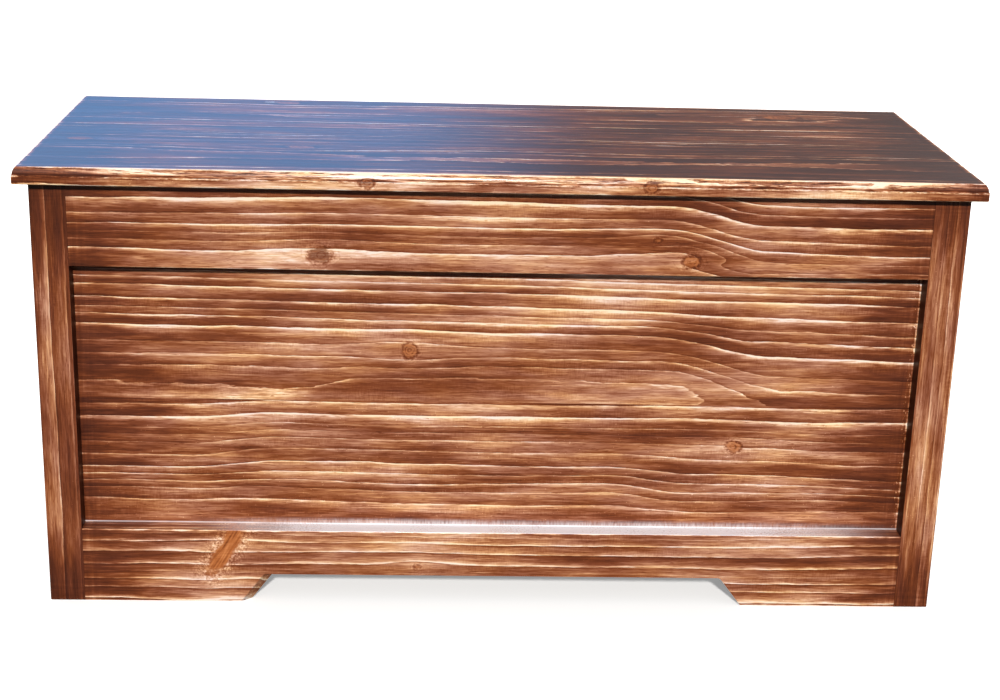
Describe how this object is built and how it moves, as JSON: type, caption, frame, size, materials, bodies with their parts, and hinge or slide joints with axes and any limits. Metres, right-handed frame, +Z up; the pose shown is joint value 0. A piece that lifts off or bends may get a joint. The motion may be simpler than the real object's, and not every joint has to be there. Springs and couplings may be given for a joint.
{
  "type": "blanket chest",
  "caption": "Low pine blanket chest with frame-and-panel walls, sloped foot cut-outs and a moulded lid on butt hinges at the back.",
  "frame": {"origin": "on the ground, under the middle of the lid", "axes": "+X along the chest to the right as seen from the front, +Y from front to back, +Z up"},
  "size_m": [1, 0.4, 0.488],
  "materials": {
    "frame_pine": "walnut stain under gloss varnish",
    "panel_pine": "walnut stain under gloss varnish",
    "lid_pine": "walnut stain under gloss varnish",
    "inner_pine": "bare planed pine",
    "hinge_brass": "satin",
    "screw_brass": "satin"
  },
  "bodies": {
    "chest": {"post_front_left": "frame_pine", "post_front_right": "frame_pine", "post_back_right": "frame_pine", "post_back_left": "frame_pine", "front_top_rail": "frame_pine", "front_bottom_rail": "frame_pine", "back_top_rail": "frame_pine", "back_bottom_rail": "frame_pine", "left_top_rail": "frame_pine", "left_bottom_rail": "frame_pine", "right_top_rail": "frame_pine", "right_bottom_rail": "frame_pine", "front_panel_upper": "panel_pine", "front_panel_lower": "panel_pine", "back_panel_upper": "panel_pine", "back_panel_lower": "panel_pine", "left_panel_upper": "panel_pine", "left_panel_lower": "panel_pine", "right_panel_upper": "panel_pine", "right_panel_lower": "panel_pine", "floor_cleat_front": "inner_pine", "floor_cleat_back": "inner_pine", "floor_cleat_left": "inner_pine", "floor_cleat_right": "inner_pine", "floor_board_front": "inner_pine", "floor_board_middle": "inner_pine", "floor_board_back": "inner_pine", "hinge_leaf_chest_left": "hinge_brass", "hinge_leaf_chest_right": "hinge_brass", "hinge_pin_left": "hinge_brass", "hinge_pin_right": "hinge_brass", "hinge_screws_chest": "screw_brass"},
    "lid": {"lid_board_front": "lid_pine", "lid_board_inner_front": "lid_pine", "lid_board_inner_back": "lid_pine", "lid_board_back": "lid_pine", "lid_batten_left": "inner_pine", "lid_batten_right": "inner_pine", "hinge_leaf_lid_left": "hinge_brass", "hinge_leaf_lid_right": "hinge_brass", "hinge_screws_lid": "screw_brass"}
  },
  "joints": [
    {"name": "lid_hinge", "type": "hinge", "parent": "chest", "child": "lid", "pos_m": [0, 0.188, 0.47], "axis": [-1, 0, 0], "range_deg": [0, 105]}
  ]
}
